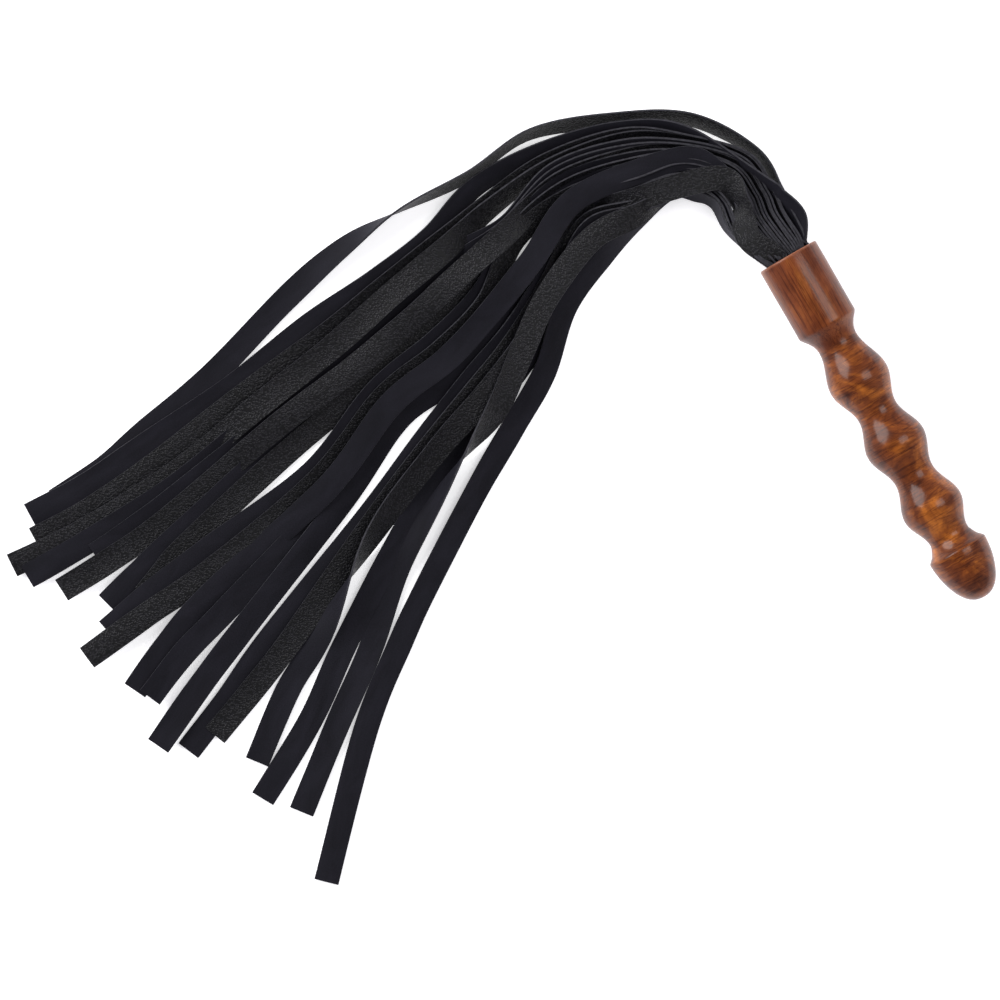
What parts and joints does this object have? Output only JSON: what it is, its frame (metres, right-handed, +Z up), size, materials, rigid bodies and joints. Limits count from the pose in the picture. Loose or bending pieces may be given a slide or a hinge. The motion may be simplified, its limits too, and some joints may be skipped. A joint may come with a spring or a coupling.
{
  "type": "leather flogger",
  "caption": "Hand whip with many flat black leather tails glued into the socket of a turned, lacquered wooden handle with three beads and an acorn-shaped butt.",
  "frame": {"origin": "on the table under the middle of the handle", "axes": "+Y along the handle from the butt towards the mouth, +Z up from the table, tails swept towards -X"},
  "size_m": [0.4457, 0.3286, 0.0328],
  "materials": {
    "socket_wood": "glossy clear lacquer over orange-brown hardwood with lengthwise grain",
    "grip_wood": "glossy clear lacquer over dark red-brown mottled hardwood",
    "leather": "black, pebbled grain on one face and matte suede on the other"
  },
  "bodies": {
    "handle": {"socket": "socket_wood", "grip": "grip_wood", "root_roll": "leather"},
    "tails": {"tail_01": "leather", "tail_02": "leather", "tail_03": "leather", "tail_04": "leather", "tail_05": "leather", "tail_06": "leather", "tail_07": "leather", "tail_08": "leather", "tail_09": "leather", "tail_10": "leather", "tail_11": "leather", "tail_12": "leather", "tail_13": "leather", "tail_14": "leather", "tail_15": "leather", "tail_16": "leather", "tail_17": "leather", "tail_18": "leather", "tail_19": "leather", "tail_20": "leather"}
  },
  "joints": [
    {"name": "tails_swing", "type": "hinge", "parent": "handle", "child": "tails", "pos_m": [0, 0.1015, 0.0164], "axis": [0, 0, 1], "range_deg": [-25, 25]}
  ]
}
